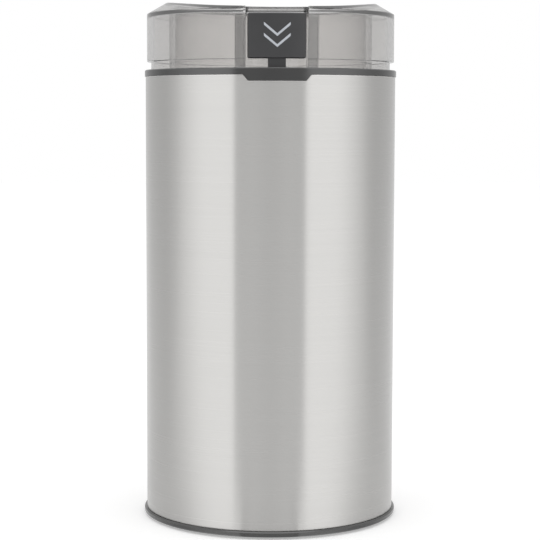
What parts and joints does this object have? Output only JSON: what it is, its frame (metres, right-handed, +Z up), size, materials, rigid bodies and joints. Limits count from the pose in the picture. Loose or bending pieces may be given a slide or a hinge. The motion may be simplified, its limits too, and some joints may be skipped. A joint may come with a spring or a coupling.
{
  "type": "electric spice grinder",
  "caption": "Tall round electric spice grinder with a brushed steel body, a clear press-on lid, a front push button, and a steel bowl with a spinning two-wing blade.",
  "frame": {"origin": "centre of the footprint, on the surface that the rubber feet stand on", "axes": "+Z up along the motor shaft; the push button faces -Y and the cord entry faces +Y"},
  "size_m": [0.0878, 0.0878, 0.1771],
  "materials": {
    "dark_plastic": "satin moulded, dark grey",
    "rubber": "matte black",
    "zinc_steel": "zinc plated",
    "brushed_sleeve": "brushed round the body",
    "housing_plastic": "fine texture, black",
    "bowl_steel": "drawn and polished",
    "cast_aluminium": "die cast",
    "sintered_bronze": "oil filled, dull",
    "lamination_steel": "stacked laminations",
    "copper_wire": "enamelled copper wire",
    "brown_phenolic": "moulded phenolic",
    "carbon": "pressed carbon",
    "spring_steel": "bright wire and strip",
    "shaft_steel": "ground",
    "commutator_copper": "turned copper bars",
    "fan_plastic": "natural nylon",
    "blade_steel": "stamped and polished",
    "smoky_clear": "clear, lightly smoked",
    "button_plastic": "satin black",
    "rod_plastic": "natural acetal",
    "switch_plastic": "moulded nylon",
    "terminal_brass": "tinned brass",
    "plunger_plastic": "red",
    "terminal_plastic": "white nylon",
    "capacitor_film": "blue case",
    "brown_wire": "vinyl insulation",
    "blue_wire": "vinyl insulation"
  },
  "bodies": {
    "housing": {"base_cover": "dark_plastic", "rubber_feet": "rubber", "base_screws": "zinc_steel", "steel_sleeve": "brushed_sleeve", "top_collar": "dark_plastic", "collar_screws": "zinc_steel", "motor_housing": "housing_plastic", "grinding_bowl": "bowl_steel", "bowl_gasket": "rubber", "bowl_ring_nut": "dark_plastic", "shaft_seal": "rubber", "upper_bracket": "cast_aluminium", "lower_bracket": "cast_aluminium", "upper_bearing": "sintered_bronze", "lower_bearing": "sintered_bronze", "stator_core": "lamination_steel", "field_coils": "copper_wire", "motor_bolts": "zinc_steel", "motor_grommets": "rubber", "brush_holders": "brown_phenolic", "carbon_brushes": "carbon", "brush_springs": "spring_steel", "switch_body": "switch_plastic", "switch_terminals": "terminal_brass", "switch_bracket": "zinc_steel", "switch_screws": "zinc_steel", "switch_nuts": "zinc_steel", "bracket_screws": "zinc_steel", "cord_gland": "rubber", "cord_clamp": "dark_plastic", "clamp_screws": "zinc_steel", "terminal_block": "terminal_plastic", "suppression_capacitor": "capacitor_film", "switch_lead": "brown_wire", "field_lead": "blue_wire", "brush_lead": "blue_wire"},
    "rotor": {"rotor_shaft": "shaft_steel", "armature_core": "lamination_steel", "armature_winding": "copper_wire", "commutator": "commutator_copper", "cooling_fan": "fan_plastic", "blade_collar": "bowl_steel", "blade": "blade_steel", "blade_nut": "dark_plastic"},
    "lid": {"lid": "smoky_clear"},
    "button": {"push_button": "button_plastic", "push_rod": "rod_plastic", "return_spring": "spring_steel"},
    "switch_lever": {"switch_lever": "spring_steel"},
    "switch_plunger": {"switch_plunger": "plunger_plastic"}
  },
  "joints": [
    {"name": "lid_lift", "type": "slide", "parent": "housing", "child": "lid", "axis": [0, 0, 1], "range_m": [0, 0.07]},
    {"name": "button_press", "type": "slide", "parent": "housing", "child": "button", "axis": [0, 0, -1], "range_m": [0, 0.0026], "stiffness_N_per_m": 600, "springref_m": -0.004, "deforming": ["return_spring"]},
    {"name": "blade_spin", "type": "hinge", "parent": "housing", "child": "rotor", "pos_m": [0, 0, 0.06], "axis": [0, 0, 1], "continuous": true},
    {"name": "lever_swing", "type": "hinge", "parent": "housing", "child": "switch_lever", "pos_m": [-0.012, -0.03145, 0.09761], "axis": [0, 1, 0], "range_deg": [0, 12.2]},
    {"name": "plunger_travel", "type": "slide", "parent": "housing", "child": "switch_plunger", "axis": [0, 0, -1], "range_m": [0, 0.00097]}
  ],
  "couplings": [
    {"joint": "lever_swing", "follows": "button_press", "rad_per_m": 80.2},
    {"joint": "plunger_travel", "follows": "button_press", "ratio": 0.366}
  ]
}
